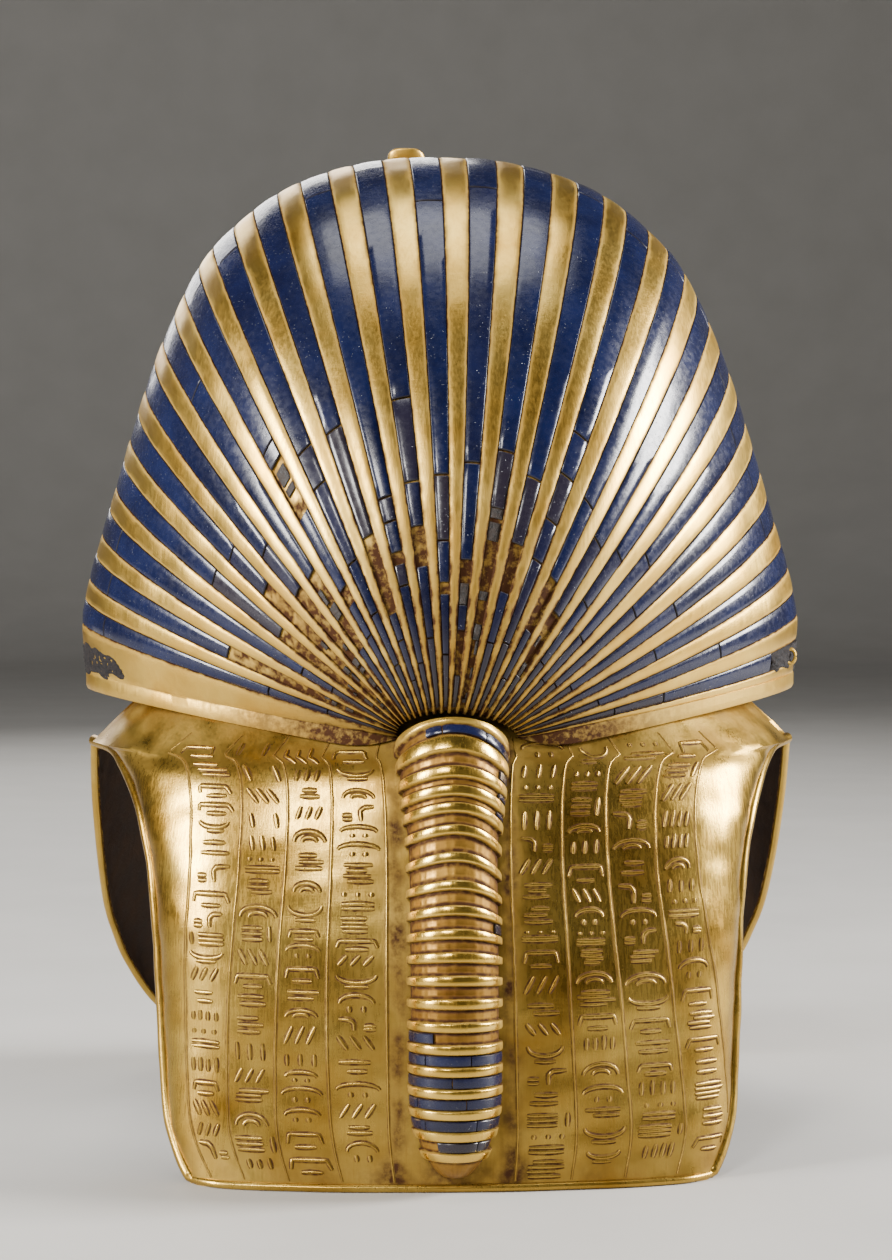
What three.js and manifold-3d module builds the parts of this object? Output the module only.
// Egyptian mummy mask: a hollow gold helmet mask with a striped head cloth, a chased back panel,
// a ringed plait and strips of blue glass set in sunk beds. Part of the glass is lost.
// Millimetres, +Z up, the face towards -Y, the back of the head towards +Y.
import * as THREE from 'three';
import { mergeVertices } from 'three/addons/utils/BufferGeometryUtils.js';
import Module from 'manifold-3d';

const wasm = await Module();
wasm.setup();

// Driving sizes
const HEIGHT = 540; // foot of the back panel to the tip of the cobra
const WALL = 3.2; // beaten gold sheet
const FACE_WALL = 5.5; // thicker behind the eyes, whose beds are cut into it
const FIT_GAP = 0.3; // clearance round every piece that is set in the gold

// Head cloth
const STRIPE_COUNT = 26;
const BED_DEPTH = 1.6; // sunk bed of a glass strip
const GLASS_SUNK = 0.1; // top of the glass below the gold beside it
const BED_SLOPE = 0.15; // lean of a bed's side walls
const HEM_PROUD = 2; // brow band over the cloth
const HEM_START = 1.86; // where the brow band begins, as the front's own 1 to 2

// Plait down the back
const RING_COUNT = 20;
const RING_PROUD = 2; // gold rings over the beds between them
const RING_SHARE = 0.5; // width of a ring in the pitch of the rings
const RING_LEAN = 0.6; // lean of a ring's side walls
const PLAIT_SIDES = 6;
const PLAIT_SEAT = 0.6; // clearance of the plait over the back panel

// Rims, lappets, eyes
const RIM_RADIUS = 3.2; // rolled edge of the back panel
const LAPPET_PROUD = 8.5;
const PUPIL_RADIUS = 5;
const LID_MARGIN = 0.5; // white left above and below the disc
const EYE_LENGTH = 30;
const EYE_HEIGHT = 2 * (PUPIL_RADIUS + LID_MARGIN);
const EYE_DEPTH = 2.6;
const PUPIL_PROUD = 0.3;

// The free form is drawn in hundredths of the height.
const SHARE = HEIGHT / 100;
const at = (x, y, z) => new THREE.Vector3(x, y, z).multiplyScalar(SHARE);

const gold = new THREE.MeshStandardMaterial({ color: 0xc79a3f, roughness: 0.32, metalness: 1 });
const glass = new THREE.MeshStandardMaterial({ color: 0x1d2f63, roughness: 0.25, metalness: 0 });
const whiteStone = new THREE.MeshStandardMaterial({ color: 0xe4ddcb, roughness: 0.4, metalness: 0 });
const blackStone = new THREE.MeshStandardMaterial({ color: 0x0c0b0c, roughness: 0.12, metalness: 0 });

// Outline of the head cloth seen from behind, from the lip of the +X wing to the crown.
const RIDGE_SIDE = [
  at(35.1, -1.4, 45), at(35.5, -1.4, 49.7), at(35.2, -1.4, 52.3), at(34.3, -1.6, 56.2),
  at(32.5, -1.8, 62.2), at(30.7, -2.2, 68.2), at(28.7, -2.5, 74.5), at(26.5, -3.1, 80.1),
  at(23.9, -3.6, 85.2), at(21.5, -4.3, 88.2), at(17.2, -5.1, 91.9), at(12.5, -6.1, 94.3),
  at(6.5, -7.2, 96), at(0, -7.2, 96.4),
];
// Edge of the cloth round the face, from below the ear up to the middle of the brow.
const FACE_EDGE_SIDE = [
  at(22.1, -12.7, 42), at(16.6, -14.1, 44.1), at(12.7, -14.8, 46.7), at(14.5, -15.6, 56.1),
  at(15.6, -15.9, 64.2), at(15.2, -17.4, 72.3), at(13, -22.1, 78.5), at(7.6, -26.8, 81.4),
  at(0, -28.6, 82.5),
];
// Side edge of the back panel, from the top of the shoulder to the foot.
const PANEL_EDGE = [
  at(34.3, 0.9, 38.5), at(32.2, 4.5, 38), at(30.8, 8.1, 36.7), at(29.5, 11.2, 34.4),
  at(28.6, 13.6, 31.8), at(27.7, 15.4, 27.7), at(27.3, 16.6, 23.5), at(26.8, 17.7, 16.6),
  at(26.4, 19, 10.3), at(25.8, 20.8, 4.7), at(23.7, 23.5, 0),
];
// Side edge of the collar in front, from the top of the shoulder to the foot.
const COLLAR_EDGE = [
  at(34.3, 0.9, 38.5), at(34.6, -3.6, 32.9), at(34.5, -8.1, 26.4), at(34.3, -13.6, 20.6),
  at(33.7, -17.2, 17), at(32.6, -20.8, 13.2), at(29.9, -25.3, 8.1), at(25.3, -30.7, 3.6),
  at(17.2, -35.6, 0),
];
// Widest line of the shoulders, from the top of the arm opening up to inside the neck.
const SHOULDER_EDGE = [
  at(34.3, 0.9, 38.5), at(32.2, 1.4, 40.5), at(29.5, 1.8, 42.9), at(25.7, 1.8, 45.2),
  at(20.8, 0.9, 49.7),
];
// Middle line of the back panel and of the chest.
const PANEL_MIDDLE = [
  at(0, 28, 0), at(0, 27.8, 7.2), at(0, 27.1, 18.1), at(0, 25.3, 27.1), at(0, 22.6, 36.2),
  at(0, 20.4, 39.4), at(0, 18.1, 42.5), at(0, 15.9, 45.2), at(0, 12.7, 49.7),
];
const CHEST_MIDDLE = [
  at(0, -38.9, 0), at(0, -38.2, 6.3), at(0, -36.2, 13.6), at(0, -33.1, 22.6), at(0, -28.9, 30.7),
  at(0, -25, 37.1), at(0, -21.7, 41.2), at(0, -18.1, 44.3), at(0, -10.8, 49.7),
];

// Curves

const smooth = (points) => new THREE.CatmullRomCurve3(points, false, 'catmullrom', 0.5);

function mirrored(side) {
  const other = side.slice(0, -1).reverse().map((p) => new THREE.Vector3(-p.x, p.y, p.z));
  return smooth([...side, ...other]);
}

// A curve read by height: the point of it at height z.
function byHeight(points) {
  const samples = smooth(points).getPoints(16 * (points.length - 1));
  if (samples[0].z > samples.at(-1).z) {
    samples.reverse();
  }
  return (z) => {
    const above = samples.findIndex((p) => p.z >= z);
    if (above < 0) {
      return samples.at(-1).clone();
    }
    if (above === 0) {
      return samples[0].clone();
    }
    const low = samples[above - 1];
    return low.clone().lerp(samples[above], (z - low.z) / (samples[above].z - low.z));
  };
}

function bezier(a, b, c, d, t) {
  return new THREE.CubicBezierCurve3(a, b, c, d).getPoint(t);
}

// Solids

function volumeSign(positions, triangles) {
  const corner = (i) => new THREE.Vector3().fromArray(positions, 3 * triangles[i]);
  let volume = 0;
  for (let i = 0; i < triangles.length; i += 3) {
    volume += corner(i).dot(corner(i + 1).cross(corner(i + 2)));
  }
  return Math.sign(volume);
}

// A closed mesh with merged corners, no collapsed triangles and its faces pointing out.
function closedGeometry(source) {
  const bare = new THREE.BufferGeometry();
  bare.setAttribute('position', source.getAttribute('position'));
  bare.setIndex(source.getIndex());
  const merged = mergeVertices(bare, 1e-3);
  const positions = merged.getAttribute('position').array;
  const index = merged.getIndex().array;
  const triangles = [];
  for (let i = 0; i < index.length; i += 3) {
    const [a, b, c] = [index[i], index[i + 1], index[i + 2]];
    if (a !== b && b !== c && c !== a) {
      triangles.push(a, b, c);
    }
  }
  if (volumeSign(positions, triangles) < 0) {
    for (let i = 0; i < triangles.length; i += 3) {
      [triangles[i], triangles[i + 1]] = [triangles[i + 1], triangles[i]];
    }
  }
  const result = new THREE.BufferGeometry();
  result.setAttribute('position', new THREE.Float32BufferAttribute(positions, 3));
  result.setIndex(triangles);
  return result;
}

// Skin over a row of closed loops with equal numbers of points, capped at both ends. The quads of
// the turned side are split along their other diagonal.
function loft(loops, turned = -1) {
  const size = loops[0].length;
  const positions = loops.flat().flatMap((p) => p.toArray());
  const triangles = [];
  for (let i = 0; i + 1 < loops.length; i += 1) {
    for (let j = 0; j < size; j += 1) {
      const a = i * size + j;
      const b = i * size + ((j + 1) % size);
      const [c, d] = [a + size, b + size];
      triangles.push(...(j === turned ? [a, b, d, a, d, c] : [a, b, c, b, d, c]));
    }
  }
  for (const [first, flip] of [[0, true], [(loops.length - 1) * size, false]]) {
    const middle = new THREE.Vector3();
    const loop = first === 0 ? loops[0] : loops.at(-1);
    loop.forEach((p) => middle.addScaledVector(p, 1 / size));
    const hub = positions.length / 3;
    positions.push(...middle.toArray());
    for (let j = 0; j < size; j += 1) {
      const a = first + j;
      const b = first + ((j + 1) % size);
      triangles.push(...(flip ? [b, a, hub] : [a, b, hub]));
    }
  }
  const geometry = new THREE.BufferGeometry();
  geometry.setAttribute('position', new THREE.Float32BufferAttribute(positions, 3));
  geometry.setIndex(triangles);
  return closedGeometry(geometry);
}

function toSolid(geometry) {
  const closed = closedGeometry(geometry.index ? geometry : mergeVertices(geometry));
  return new wasm.Manifold(new wasm.Mesh({
    numProp: 3,
    vertProperties: new Float32Array(closed.getAttribute('position').array),
    triVerts: new Uint32Array(closed.getIndex().array),
  }));
}

function fromSolid(solid) {
  const mesh = solid.getMesh();
  const geometry = new THREE.BufferGeometry();
  geometry.setAttribute('position', new THREE.Float32BufferAttribute(mesh.vertProperties, 3));
  geometry.setIndex([...mesh.triVerts]);
  return closedGeometry(geometry);
}

const join = (solids) => solids.reduce((whole, solid) => whole.add(solid));

function tube(path, radius, sides, steps) {
  const circle = new THREE.Shape();
  circle.absarc(0, 0, radius, 0, 2 * Math.PI);
  const geometry = new THREE.ExtrudeGeometry(circle, {
    steps,
    curveSegments: sides / 2,
    extrudePath: path,
    bevelEnabled: false,
  });
  return toSolid(geometry);
}

// Head cloth. Across it, u runs 0 to 1 along the ridge from the +X lip over the crown to the -X lip.
// Along it, w runs 0 to 1 up the back from the plait to the ridge, and 1 to 2 down to the face.

const ridge = mirrored(RIDGE_SIDE);
const faceEdge = mirrored(FACE_EDGE_SIDE);
const RIDGE_LENGTH = ridge.getLength();

// The gathered cloth starts on a half circle that leans back over the head of the plait.
const GATHER = { middle: at(-0.7, 19.2, 40.1), width: 5.5, lean: 1.2, back: 5, rise: 2.6 };
const NAPE_REACH = 0.1; // how far the cloth heads straight for the ridge before it turns up

function gather(u) {
  const turn = Math.PI * u;
  const top = Math.sin(turn);
  const { middle, width, lean, back, rise } = GATHER;
  return middle.clone().add(at(width * Math.cos(turn) + lean * top, back * top, rise * top));
}

function hood(u, w) {
  const turn = Math.PI * u;
  const side = Math.cos(turn);
  const top = Math.max(0, Math.sin(turn));
  const onRidge = ridge.getPointAt(u);
  const upRidge = ridge.getTangentAt(u).multiplyScalar(u > 0.5 ? -1 : 1);
  const sweep = Math.abs(Math.sin(2 * turn)) ** 0.8 * Math.abs(side);
  if (w <= 1) {
    const start = gather(u);
    const nape = start.clone().lerp(onRidge, NAPE_REACH);
    nape.y = start.y + (4.35 + 5.9 * top) * SHARE;
    const bulge = onRidge.clone().add(at(0, 11 + 16 * top ** 1.5, 0));
    bulge.addScaledVector(upRidge, -3.7 * SHARE * sweep);
    return bezier(start, nape, bulge, onRidge, w);
  }
  const edge = faceEdge.getPointAt(u);
  const forward = onRidge.clone().add(at(0, -9 - 3.7 * top, 0));
  forward.addScaledVector(upRidge, 3.5 * SHARE * sweep);
  const brow = edge.clone().add(at(9 * side, 0, 0.9 + 9 * top));
  return bezier(onRidge, forward, brow, edge, w - 1);
}

const STEP = 1e-3;

function acrossHood(u, w) {
  const [low, high] = [Math.max(0, u - STEP), Math.min(1, u + STEP)];
  return hood(high, w).sub(hood(low, w)).divideScalar(high - low);
}

function hoodNormal(u, w) {
  const limit = w > 1 ? [1, 2] : [0, 1];
  const low = Math.max(limit[0], w - STEP);
  const high = Math.min(limit[1], w + STEP);
  const along = hood(u, high).sub(hood(u, low));
  return acrossHood(u, w).cross(along).normalize();
}

// A point moved shift millimetres across the cloth and raised millimetres off it.
function onHood(u, w, shift, raised) {
  const moved = THREE.MathUtils.clamp(u + shift / acrossHood(u, w).length(), 0, 1);
  return hood(moved, w).addScaledVector(hoodNormal(moved, w), raised);
}

// Stations along a stripe: up the back, over the ridge and down to the brow band.
const STRIPE_STATIONS = [0, 0.08, 0.2, 0.34, 0.5, 0.67, 0.84, 1, 1.28, 1.57, HEM_START];
const HEM_STATIONS = [HEM_START + STEP, 2];

// Stripes are wider over the crown than at the lips, and the first one lies further from its lip.
function stripeEdges() {
  const FIRST = 6.42;
  const PITCH = 4.575;
  const CROWN_PITCH = 1.084;
  const CROWN_SHIFT = 0.87;
  const GLASS_SHARE = 0.53;
  const edges = [];
  let middle = FIRST * SHARE;
  for (let k = 0; k < STRIPE_COUNT; k += 1) {
    const pitch = (PITCH + CROWN_PITCH * Math.sin(Math.PI * (k + 0.5) / (STRIPE_COUNT - 1))) * SHARE;
    const half = 0.5 * GLASS_SHARE * pitch;
    const shifted = middle - CROWN_SHIFT * SHARE * Math.sin(Math.PI * middle / RIDGE_LENGTH);
    edges.push([(shifted - half) / RIDGE_LENGTH, (shifted + half) / RIDGE_LENGTH]);
    middle += pitch;
  }
  return edges;
}

const STRIPES = stripeEdges();

// The cloth's sections meet on two points inside the head.
const CORE_FRONT = at(0, -12.7, 47.4);
const CORE_BACK = at(0, 10.8, 45.2);

function clothSolid() {
  const columns = [[0, 0, 0]];
  for (const [start, end] of STRIPES) {
    columns.push([start, 0, 0], [start, BED_SLOPE, -BED_DEPTH]);
    columns.push([end, -BED_SLOPE, -BED_DEPTH], [end, 0, 0]);
  }
  columns.push([1, 0, 0]);
  const loops = columns.map(([u, shift, raised]) => [
    ...STRIPE_STATIONS.map((w) => onHood(u, w, shift, raised)),
    ...HEM_STATIONS.map((w) => onHood(u, w, shift, HEM_PROUD)),
    CORE_FRONT,
    CORE_BACK,
  ]);
  return toSolid(loft(loops));
}

function clothHollow() {
  const COLUMNS = 16;
  const stations = [...STRIPE_STATIONS, 2];
  const lip = 2 * WALL / RIDGE_LENGTH;
  const loops = [];
  for (let i = 0; i <= COLUMNS; i += 1) {
    const u = THREE.MathUtils.lerp(lip, 1 - lip, i / COLUMNS);
    loops.push([
      ...stations.map((w) => onHood(u, w, 0, -WALL)),
      CORE_FRONT,
      CORE_BACK,
    ]);
  }
  return toSolid(loft(loops));
}

// Where the surviving glass of each stripe starts, as the back's own 0 to 1.
const GLASS_START = [
  0.03, 0.49, 0.03, 0.4, 0.455, 0.395, 0.385, 0.525, 0.03, 0.355, 0.32, 0.345, 0.27,
  0.3, 0.37, 0.335, 0.03, 0.325, 0.295, 0.03, 0.03, 0.03, 0.03, 0.03, 0.03, 0.03,
];

function glassStrip([startEdge, endEdge], from) {
  const side = BED_SLOPE + FIT_GAP;
  const top = -GLASS_SUNK;
  const floor = FIT_GAP - BED_DEPTH;
  const corners = [
    [startEdge, side, top], [endEdge, -side, top], [endEdge, -side, floor], [startEdge, side, floor],
  ];
  const loopAt = (w) => corners.map(([u, shift, raised]) => onHood(u, w, shift, raised));
  const loops = STRIPE_STATIONS.map(loopAt);
  const end = STRIPE_STATIONS.length - 1;
  const cut = (low, w) => {
    const part = (w - STRIPE_STATIONS[low]) / (STRIPE_STATIONS[low + 1] - STRIPE_STATIONS[low]);
    return loops[low].map((p, j) => p.clone().lerp(loops[low + 1][j], part));
  };
  const first = STRIPE_STATIONS.findIndex((w) => w > from);
  const HEM_CLEAR = 0.01;
  const last = cut(end - 1, HEM_START - HEM_CLEAR);
  const FLOOR_SIDE = 2;
  return loft([cut(first - 1, from), ...loops.slice(first, end), last], FLOOR_SIDE);
}

// Shoulders, chest and back panel: level sections, each a half ellipse behind and one in front.

const panelEdge = byHeight(PANEL_EDGE);
const collarEdge = byHeight(COLLAR_EDGE);
const shoulderEdge = byHeight(SHOULDER_EDGE);
const panelMiddle = byHeight(PANEL_MIDDLE);
const chestMiddle = byHeight(CHEST_MIDDLE);
const SHOULDER_TOP = PANEL_EDGE[0].z;

function section(z, inset, sides) {
  const back = z < SHOULDER_TOP ? panelEdge(z) : shoulderEdge(z);
  const front = z < SHOULDER_TOP ? collarEdge(z) : shoulderEdge(z);
  const backDepth = panelMiddle(z).y - back.y - inset;
  const frontDepth = front.y - chestMiddle(z).y - inset;
  const loop = [];
  for (let i = 0; i <= sides; i += 1) {
    const turn = Math.PI * (i / sides - 0.5);
    const y = back.y + backDepth * Math.cos(turn);
    loop.push(new THREE.Vector3((back.x - inset) * Math.sin(turn), y, z));
  }
  for (let i = 0; i <= sides; i += 1) {
    const turn = Math.PI * (0.5 - i / sides);
    const y = front.y - frontDepth * Math.cos(turn);
    loop.push(new THREE.Vector3((front.x - inset) * Math.sin(turn), y - STEP, z));
  }
  return loop;
}

const BODY_HEIGHTS = [0, 4.7, 10.3, 16.6, 23.5, 28.5, 32.5, 36, 38.5, 40.5, 42.9, 45.2, 49.7];

function bodySolid() {
  const SIDES = 14;
  return toSolid(loft(BODY_HEIGHTS.map((h) => section(h * SHARE, 0, SIDES))));
}

function bodyHollow() {
  const SIDES = 10;
  const loops = BODY_HEIGHTS.map((h) => section(h * SHARE, WALL, SIDES));
  const below = loops[0].map((p) => p.clone().setZ(-WALL));
  return toSolid(loft([below, ...loops]));
}

// The opening on each side between the panel's edge and the collar's edge.
function armOpening() {
  const outline = new THREE.Shape();
  const down = smooth(PANEL_EDGE).getPoints(24);
  const up = smooth(COLLAR_EDGE).getPoints(24).reverse();
  const lowest = -2 * WALL;
  const points = down.map((p) => new THREE.Vector2(p.y, p.z));
  points.push(new THREE.Vector2(down.at(-1).y, lowest), new THREE.Vector2(up[0].y, lowest));
  points.push(...up.slice(0, -1).map((p) => new THREE.Vector2(p.y, p.z)));
  outline.setFromPoints(points);
  const reach = 2 * PANEL_EDGE[0].x;
  const prism = new THREE.ExtrudeGeometry(outline, { depth: 2 * reach, bevelEnabled: false });
  // The outline's own x and y become the mask's y and z.
  const turn = new THREE.Matrix4().makeBasis(
    new THREE.Vector3(0, 1, 0),
    new THREE.Vector3(0, 0, 1),
    new THREE.Vector3(1, 0, 0),
  );
  prism.applyMatrix4(turn);
  prism.translate(-reach, 0, 0);
  return toSolid(prism);
}

// Rolled edge of the back panel, down one side, along the foot and up the other side.
function rolledEdge() {
  const SIDES = 6;
  const STEPS = 34;
  const FOOT_LIFT = 0.6 * RIM_RADIUS;
  const middle = PANEL_MIDDLE[0];
  const side = PANEL_EDGE.map((p) => new THREE.Vector3(p.x, p.y, Math.max(p.z, FOOT_LIFT)));
  const corner = side.at(-1);
  const foot = [];
  for (const share of [0.75, 0.45]) {
    const y = corner.y + (middle.y - corner.y) * Math.sqrt(1 - share * share);
    foot.push(new THREE.Vector3(corner.x * share, y, FOOT_LIFT));
  }
  const path = mirrored([...side, ...foot, new THREE.Vector3(0, middle.y, FOOT_LIFT)]);
  return tube(path, RIM_RADIUS, SIDES, STEPS);
}

// Neck, face, ears

const NECK = { middle: at(0, -10.5, 0), radius: 10.5 * SHARE, foot: 39 * SHARE, top: 52.5 * SHARE };

function neck(inset) {
  const SIDES = 20;
  const height = NECK.top - NECK.foot;
  const cylinder = new THREE.CylinderGeometry(NECK.radius - inset, NECK.radius - inset, height, SIDES);
  cylinder.rotateX(Math.PI / 2);
  cylinder.translate(0, NECK.middle.y, (NECK.top + NECK.foot) / 2);
  return toSolid(cylinder);
}

// Half width and middle line of the face by height, chin to brow, without the nose.
const FACE_PROFILE = [
  at(4.5, -25.3, 44.8), at(7.2, -28.6, 46), at(9.6, -29.3, 48), at(11.3, -28.5, 50.3),
  at(12.9, -29.2, 54), at(13.9, -28.9, 57.8), at(14.6, -28.3, 61.5), at(14.9, -27.9, 65.5),
  at(15, -29.2, 69.5), at(14.6, -29.6, 76), at(13.4, -28.8, 82), at(11.7, -26.9, 85),
];
const faceProfile = byHeight(FACE_PROFILE);
const FACE_BACK = -11 * SHARE;

const bump = (distance, spread) => Math.exp(-((distance / spread) ** 2));

// Carving of the face in hundredths of the height: how far it stands forward at (x, z).
function carving(x, z) {
  const out = Math.abs(x);
  let forward = 0;
  const noseTip = 58.3;
  const noseRoot = 69.5;
  const down = THREE.MathUtils.clamp((noseRoot - z) / (noseRoot - noseTip), 0, 1);
  const under = THREE.MathUtils.smoothstep(z, noseTip - 1.7, noseTip - 0.2);
  forward += (0.5 + 3.9 * down ** 1.3) * under * bump(out, 1.1 + 0.75 * down) * (z < noseRoot + 2 ? 1 : 0);
  forward += 1.2 * bump(out - 2, 0.9) * bump(z - 57.9, 1);
  forward -= 1.3 * bump(out - 5.9, 3) * bump(z - 65.4, 1.9);
  forward += 0.9 * bump(out - 5.9, 2.7) * bump(z - 65.4, 1.1);
  forward += 0.5 * bump(out - 5.6, 3.6) * bump(z - 68.8 + 0.02 * (out - 5.6) ** 2, 0.9);
  forward += 0.8 * bump(out, 3.3) * bump(z - 53.6, 0.9);
  forward += 0.85 * bump(out, 2.8) * bump(z - 51.7, 0.9);
  forward -= 0.5 * bump(out, 4) * bump(z - 52.7, 0.35);
  return forward;
}

function faceY(x, z) {
  const middle = faceProfile(z * SHARE);
  const part = Math.min(1, Math.abs(x * SHARE) / middle.x);
  const round = (1 - part ** 2.4) ** (1 / 2.2);
  return FACE_BACK + (middle.y - FACE_BACK) * round - carving(x, z) * SHARE * Math.min(1, 3 * round);
}

function faceLoop(height, inset, columns, deep) {
  const halfWidth = faceProfile(height * SHARE).x / SHARE;
  const loop = [];
  for (const column of [...columns.map((part) => -part), ...columns.toReversed()]) {
    const x = halfWidth * column;
    const narrow = 1 - inset / (halfWidth * SHARE);
    loop.push(new THREE.Vector3(x * SHARE * narrow, faceY(x, height) + inset, height * SHARE));
  }
  loop.push(new THREE.Vector3(loop.at(-1).x, deep, height * SHARE));
  loop.push(new THREE.Vector3(loop[0].x, deep, height * SHARE));
  return loop;
}

function faceSolid() {
  const COLUMNS = [1, 0.92, 0.75, 0.57, 0.4, 0.26, 0.15, 0.06];
  const HEIGHTS = [44.8, 46.5, 49, 51.5, 52.7, 54, 56.6, 57.8, 59, 61.5, 65.4, 69.2, 76, 84];
  return toSolid(loft(HEIGHTS.map((height) => faceLoop(height, 0, COLUMNS, FACE_BACK + 2 * WALL))));
}

function faceHollow() {
  const COLUMNS = [1, 0.8, 0.3];
  const HEIGHTS = [46.4, 50.3, 56, 63.2, 73, 83];
  return toSolid(loft(HEIGHTS.map((height) => faceLoop(height, FACE_WALL, COLUMNS, FACE_BACK + 4 * WALL))));
}

function ear(side) {
  const EAR = { middle: at(17.8 * side, -17.8, 63.4), half: [3.2, 2, 6.2] };
  const shell = new THREE.SphereGeometry(SHARE, 10, 7);
  shell.scale(...EAR.half);
  shell.rotateZ(-0.35 * side);
  shell.translate(...EAR.middle.toArray());
  const bowl = new THREE.SphereGeometry(SHARE, 8, 5);
  bowl.scale(1.5, 1.2, 3.3);
  bowl.translate(EAR.middle.x, EAR.middle.y - 1.7 * SHARE, EAR.middle.z + 0.9 * SHARE);
  return toSolid(shell).subtract(toSolid(bowl));
}

// Lappets that fall from the cloth onto the chest.
function chestY(x, z) {
  const front = z < SHOULDER_TOP ? collarEdge(z) : shoulderEdge(z);
  const part = Math.min(1, Math.abs(x) / front.x);
  return front.y + (chestMiddle(z).y - front.y) * Math.sqrt(1 - part * part);
}

function lappet(side) {
  const HEIGHTS = [19, 23, 27.5, 32, 36.5, 41, 45.4];
  const INNER = 11.2;
  const OUTER = 20.8;
  const FLARE = 0.09;
  const loops = HEIGHTS.map((height) => {
    const z = height * SHARE;
    const outer = OUTER + FLARE * (height - HEIGHTS[0]);
    const xs = [INNER, (INNER + outer) / 2, outer].map((x) => x * SHARE * side);
    const fronts = xs.map((x) => new THREE.Vector3(x, chestY(x, z) - LAPPET_PROUD, z));
    const backs = xs.toReversed().map((x) => new THREE.Vector3(x, chestY(x, z) + WALL / 2, z));
    return [...fronts, ...backs];
  });
  return toSolid(loft(loops));
}

// Eyes: a white almond in a bed cut into the face, with a dark disc in its middle.
const EYES = [1, -1].map((side) => {
  const x = 5.9 * side;
  const z = 65.4;
  return { side, place: new THREE.Vector3(x * SHARE, faceY(x, z), z * SHARE), yaw: 0.2 * side };
});

function disc(grow, depth) {
  const shape = new THREE.Shape();
  shape.absarc(0, 0, PUPIL_RADIUS + grow, 0, 2 * Math.PI);
  return new THREE.ExtrudeGeometry(shape, { depth, curveSegments: 7, bevelEnabled: false });
}

function almond(grow, depth) {
  const [half, rise] = [EYE_LENGTH / 2 + grow, EYE_HEIGHT + 2 * grow];
  const shape = new THREE.Shape();
  shape.moveTo(-half, 0);
  shape.quadraticCurveTo(0, -rise, half, 0);
  shape.quadraticCurveTo(0, rise, -half, 0);
  return new THREE.ExtrudeGeometry(shape, { depth, curveSegments: 7, bevelEnabled: false });
}

// A shape drawn in x and y, its depth along z, set upright in the face from its floor forwards.
function inFace(geometry, eye, floor) {
  geometry.rotateX(Math.PI / 2);
  geometry.translate(0, floor, 0);
  geometry.rotateZ(eye.yaw);
  geometry.translate(...eye.place.toArray());
  return toSolid(geometry);
}

const EYE_FLOOR = EYE_DEPTH - FIT_GAP;
const eyeBed = (eye) => inFace(almond(FIT_GAP, HEIGHT / 20), eye, EYE_DEPTH);
const eyeHole = (eye) => inFace(disc(FIT_GAP, HEIGHT / 20), eye, EYE_DEPTH);
const eyeWhite = (eye) => inFace(almond(0, EYE_FLOOR), eye, EYE_FLOOR).subtract(eyeHole(eye));
const pupil = (eye) => inFace(disc(0, EYE_FLOOR + PUPIL_PROUD), eye, EYE_FLOOR);

// Plait: a half-round ringed tail that lies on the back panel, from the gathered cloth down.

const plaitLine = smooth(PANEL_MIDDLE.filter((p) => p.z < 40 * SHARE).reverse());
const PLAIT_END = 1.5 * SHARE;
const PLAIT = { top: 4.95, waist: 4, foot: 3.9, headHigh: 4.9, high: 3.9 };

function plaitFrame(s) {
  const point = plaitLine.getPointAt(s);
  const down = plaitLine.getTangentAt(s);
  const out = new THREE.Vector3(0, -down.z, down.y);
  return { point, out };
}

const PLAIT_SHARE = 1 - PLAIT_END / plaitLine.getPointAt(0).z;

// Half width and height of the plait at s, 0 at its head and 1 at its tip, over the beds.
function plaitSize(s) {
  const neckedIn = THREE.MathUtils.smoothstep(s, 0, 0.3);
  const half = THREE.MathUtils.lerp(PLAIT.top, PLAIT.waist, neckedIn) - (PLAIT.waist - PLAIT.foot) * s;
  const high = THREE.MathUtils.lerp(PLAIT.headHigh, PLAIT.high, neckedIn);
  const tip = s > 0.8 ? Math.sqrt(1 - ((s - 0.8) / 0.21) ** 2) : 1;
  return { half: half * tip * SHARE, high: high * tip * SHARE };
}

function plaitPoint(s, turn, raised) {
  const { point, out } = plaitFrame(s * PLAIT_SHARE);
  const { half, high } = plaitSize(s);
  point.addScaledVector(out, PLAIT_SEAT);
  point.x += (half + raised) * Math.cos(turn);
  return point.addScaledVector(out, (high + raised) * Math.sin(turn));
}

const RING_PITCH = 1 / (RING_COUNT + 0.4);

// The rings crowd together below the head, and the first is a wide band.
function ringSpan(k) {
  const crowded = 0.72 * Math.exp(-(((k - 4.6) / 2.1) ** 2));
  const middle = (k === 0 ? 0.38 : k + 0.3 - crowded) * RING_PITCH;
  const half = (k === 0 ? 0.33 / RING_SHARE : 0.5) * RING_SHARE * RING_PITCH;
  return [middle - half, middle + half];
}

function plait() {
  const length = plaitLine.getLength() * PLAIT_SHARE;
  const lean = RING_LEAN / length;
  const loopAt = (s, raised) => {
    const loop = [];
    for (let i = 0; i <= PLAIT_SIDES; i += 1) {
      loop.push(plaitPoint(s, Math.PI * i / PLAIT_SIDES, raised));
    }
    return loop;
  };
  const loops = [];
  for (let k = 0; k < RING_COUNT; k += 1) {
    const [start, end] = ringSpan(k);
    loops.push(loopAt(start, 0), loopAt(start + lean, RING_PROUD));
    loops.push(loopAt(end - lean, RING_PROUD), loopAt(end, 0));
  }
  loops.push(loopAt(1, 0));
  return loft(loops);
}

// Glass left in the plait: the bed after which ring, and the sixths of the half turn that it fills.
const PLAIT_GLASS = [
  [0, 2, 6], [1, 5, 6], [2, 5, 6], [3, 5, 6], [8, 5, 6], [13, 0, 2],
  [14, 0, 6], [15, 0, 6], [16, 0, 6], [17, 0, 6], [18, 2, 5],
];

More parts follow.
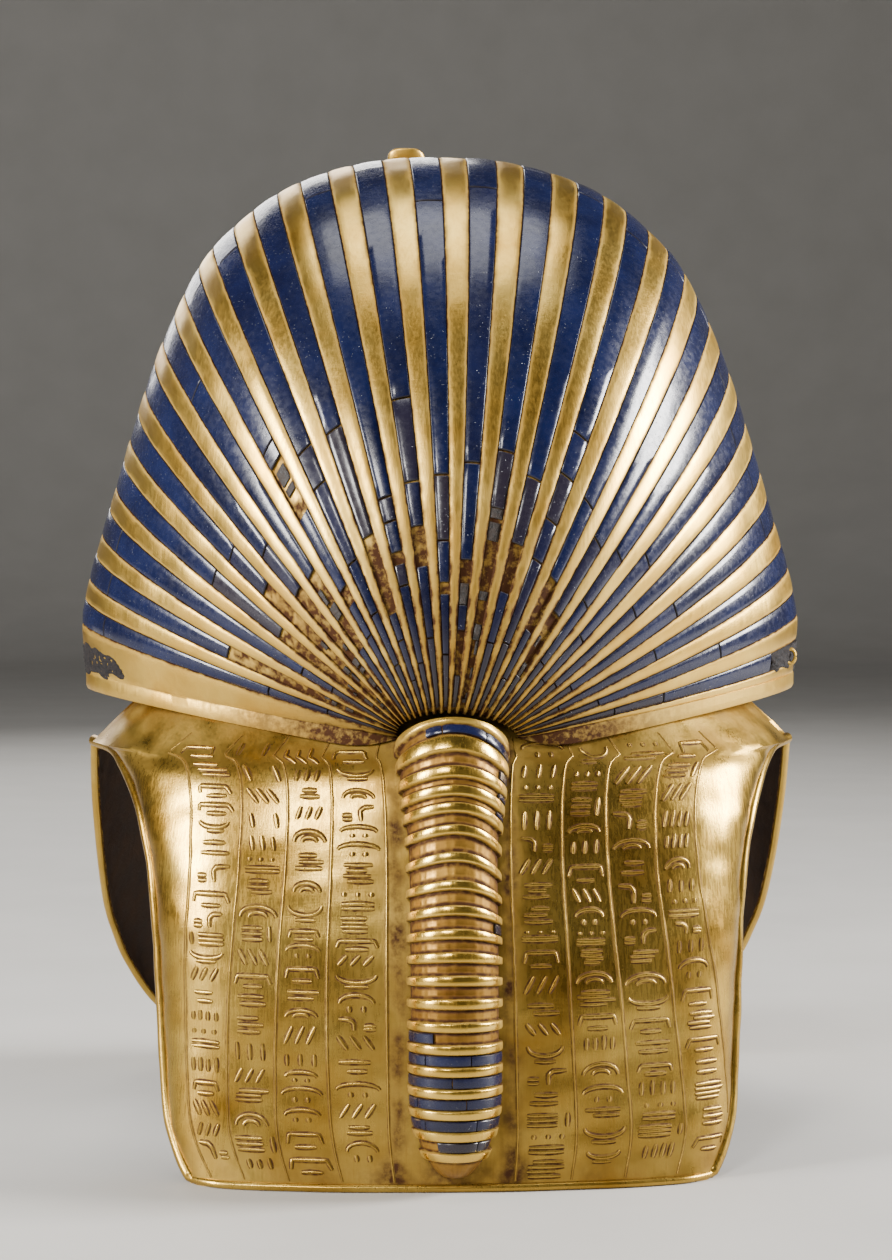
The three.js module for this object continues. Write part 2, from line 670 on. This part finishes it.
function plaitGlass([bed, from, to]) {
  const length = plaitLine.getLength() * PLAIT_SHARE;
  const start = ringSpan(bed)[1] + FIT_GAP / length;
  const end = ringSpan(bed + 1)[0] - FIT_GAP / length;
  const high = RING_PROUD - FIT_GAP;
  const loops = [];
  for (let i = from; i <= to; i += 1) {
    const turn = Math.PI * i / PLAIT_SIDES;
    loops.push([
      plaitPoint(start, turn, FIT_GAP),
      plaitPoint(end, turn, FIT_GAP),
      plaitPoint(end, turn, high),
      plaitPoint(start, turn, high),
    ]);
  }
  return loft(loops);
}

// Cobra reared over the brow: half width, half depth and place of its sections, foot to snout.
function cobra() {
  const SIDES = 8;
  const SECTIONS = [
    [1.3, 0.9, 0.6, -30.4, 82.4], [1.5, 0.9, 0.8, -31.4, 85.4], [2.1, 0.8, 1.1, -32.4, 88.4],
    [2.7, 0.8, 1.5, -32.4, 91.6], [2.3, 0.8, 1.9, -30.9, 94.4], [1.3, 0.9, 2.3, -28.8, 96.8],
    [1.5, 1.3, 2.5, -27.6, 98.2], [1.3, 1.5, 2.6, -27.4, 99.2],
  ];
  const loops = SECTIONS.map(([wide, deep, x, y, z], row) => {
    const lean = row / (SECTIONS.length - 1) * 0.9;
    const loop = [];
    for (let i = 0; i < SIDES; i += 1) {
      const turn = 2 * Math.PI * i / SIDES;
      const forward = deep * Math.sin(turn);
      loop.push(at(x + wide * Math.cos(turn), y + forward * Math.cos(lean), z + 0.6 * forward * Math.sin(lean)));
    }
    return loop;
  });
  return loft(loops);
}

// The mask

const mask = new THREE.Group();

function addPiece(name, geometry, material) {
  const mesh = new THREE.Mesh(geometry, material);
  mesh.name = name;
  mask.add(mesh);
}

function shellSolid() {
  const outside = join([
    clothSolid(), bodySolid(), neck(0), faceSolid(), ear(1), ear(-1), lappet(1), lappet(-1),
  ]);
  const inside = join([clothHollow(), bodyHollow(), neck(WALL), faceHollow()]);
  let shell = outside.subtract(inside).subtract(armOpening());
  shell = shell.add(rolledEdge());
  for (const eye of EYES) {
    shell = shell.subtract(eyeBed(eye));
  }
  const ground = new THREE.BoxGeometry(HEIGHT, HEIGHT, 4 * WALL);
  ground.translate(0, 0, -2 * WALL);
  return shell.subtract(toSolid(ground));
}

addPiece('mask_shell', fromSolid(shellSolid()), gold);
STRIPES.forEach((edges, k) => {
  const number = String(k + 1).padStart(2, '0');
  addPiece(`cloth_glass_${number}`, glassStrip(edges, GLASS_START[k]), glass);
});
addPiece('plait', plait(), gold);
PLAIT_GLASS.forEach((piece, k) => {
  addPiece(`plait_glass_${String(k + 1).padStart(2, '0')}`, plaitGlass(piece), glass);
});
addPiece('brow_cobra', cobra(), gold);
for (const eye of EYES) {
  const name = eye.side > 0 ? 'left' : 'right';
  addPiece(`eye_white_${name}`, fromSolid(eyeWhite(eye)), whiteStone);
  addPiece(`pupil_${name}`, fromSolid(pupil(eye)), blackStone);
}

const box = new THREE.Box3().setFromObject(mask);
mask.position.set(0, -(box.min.y + box.max.y) / 2, 0);

export default mask;
